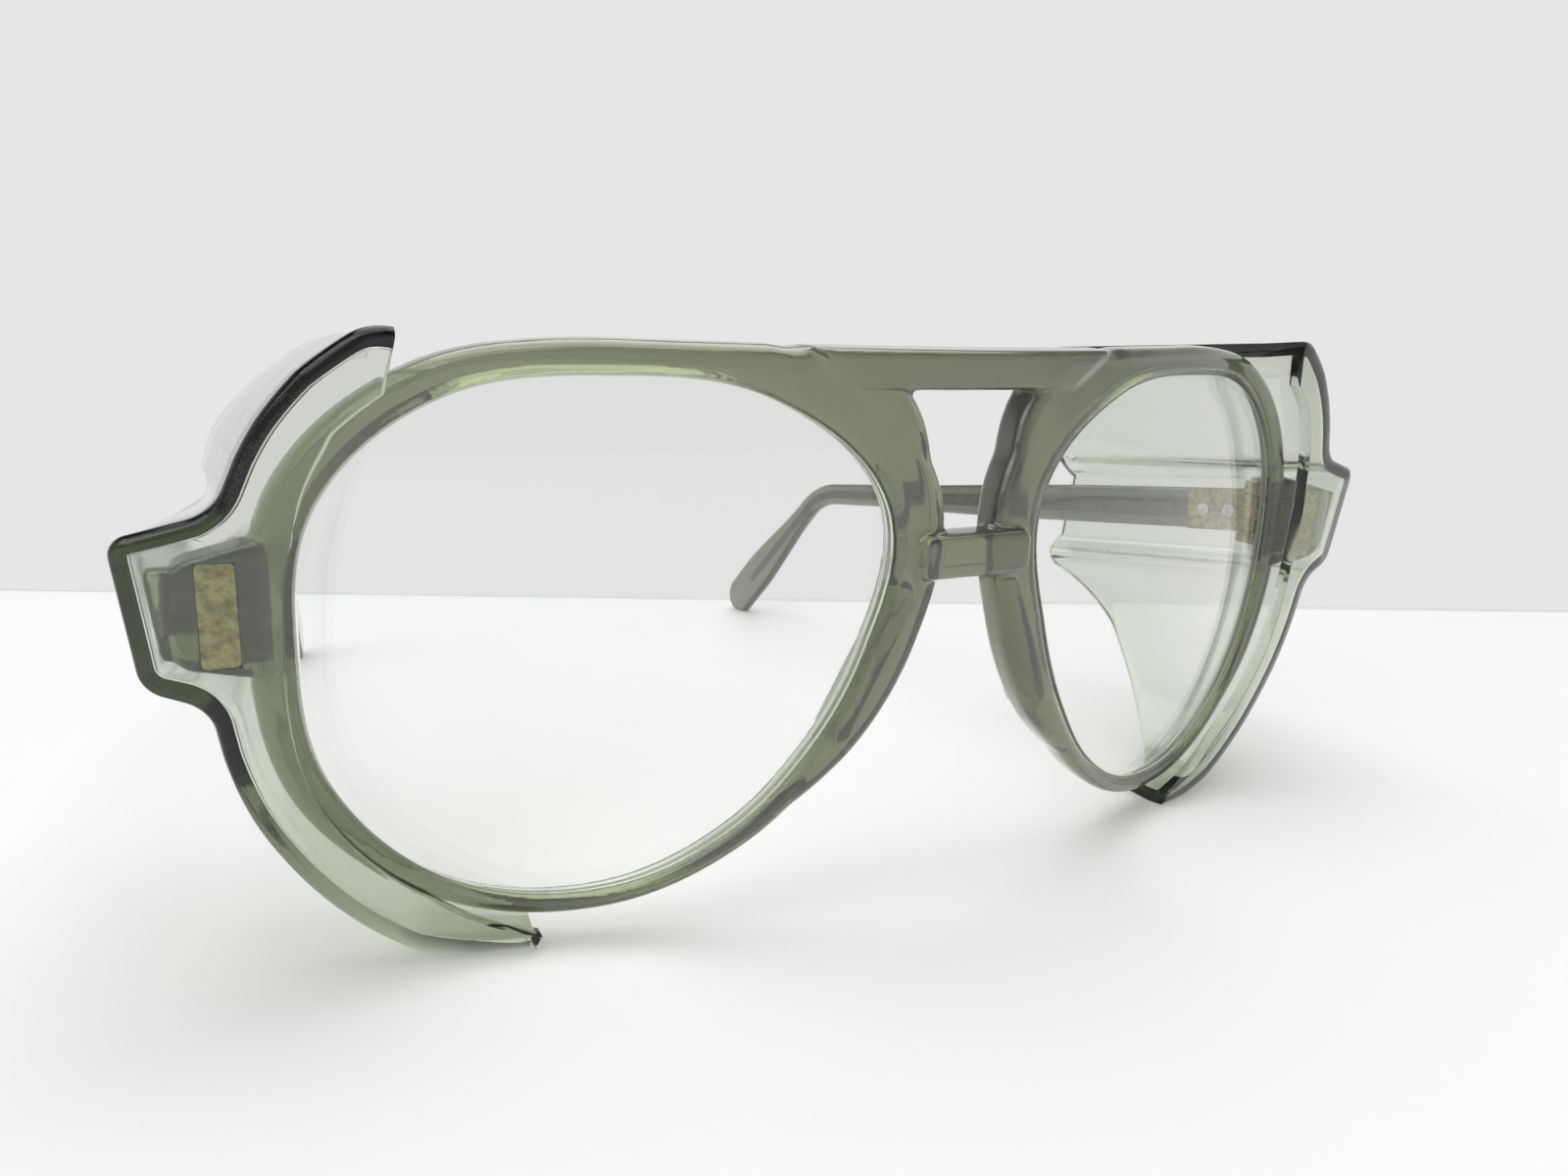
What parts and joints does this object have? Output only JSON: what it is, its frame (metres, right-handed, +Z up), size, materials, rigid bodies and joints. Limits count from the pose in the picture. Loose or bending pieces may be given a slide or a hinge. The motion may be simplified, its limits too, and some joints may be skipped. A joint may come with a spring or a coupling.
{
  "type": "aviator eyeglasses",
  "caption": "Safety aviator eyeglasses: smoke plastic front with brow bar and lower bridge, clear lenses, clear side shields boxed round the folding temples.",
  "frame": {"origin": "on the surface the open pair stands on, midway between left and right and midway from front to back", "axes": "+X to the wearer's left, +Y from the lenses to the ear ends, +Z up"},
  "size_m": [0.1592, 0.169, 0.0635],
  "materials": {
    "smoke_plastic": "polished, translucent grey-green",
    "clear_lens": "clear, polished",
    "shield_plastic": "polished, nearly clear with a grey-green cast",
    "temple_plastic": "polished, translucent smoke",
    "core_metal": "dull, brownish through the plastic",
    "gold_metal": "satin, slightly tarnished",
    "rivet_steel": "satin"
  },
  "bodies": {
    "front_frame": {"front": "smoke_plastic", "lens_left": "clear_lens", "lens_right": "clear_lens", "side_shield_left": "shield_plastic", "side_shield_right": "shield_plastic", "anchor_plate_left": "gold_metal", "anchor_plate_right": "gold_metal", "anchor_rivets_left": "rivet_steel", "anchor_rivets_right": "rivet_steel", "front_hinge_left": "gold_metal", "front_hinge_right": "gold_metal", "hinge_screw_left": "rivet_steel", "hinge_screw_right": "rivet_steel"},
    "left_temple": {"temple_left": "temple_plastic", "temple_core_left": "core_metal", "temple_hinge_left": "gold_metal", "temple_rivets_left": "rivet_steel"},
    "right_temple": {"temple_right": "temple_plastic", "temple_core_right": "core_metal", "temple_hinge_right": "gold_metal", "temple_rivets_right": "rivet_steel"}
  },
  "joints": [
    {"name": "fold_left", "type": "hinge", "parent": "front_frame", "child": "left_temple", "pos_m": [0.0686, -0.05882, 0.03884], "axis": [0, -0.1199, 0.9928], "range_deg": [0, 80]},
    {"name": "fold_right", "type": "hinge", "parent": "front_frame", "child": "right_temple", "pos_m": [-0.0686, -0.05882, 0.03884], "axis": [0, 0.1199, -0.9928], "range_deg": [0, 74]}
  ]
}
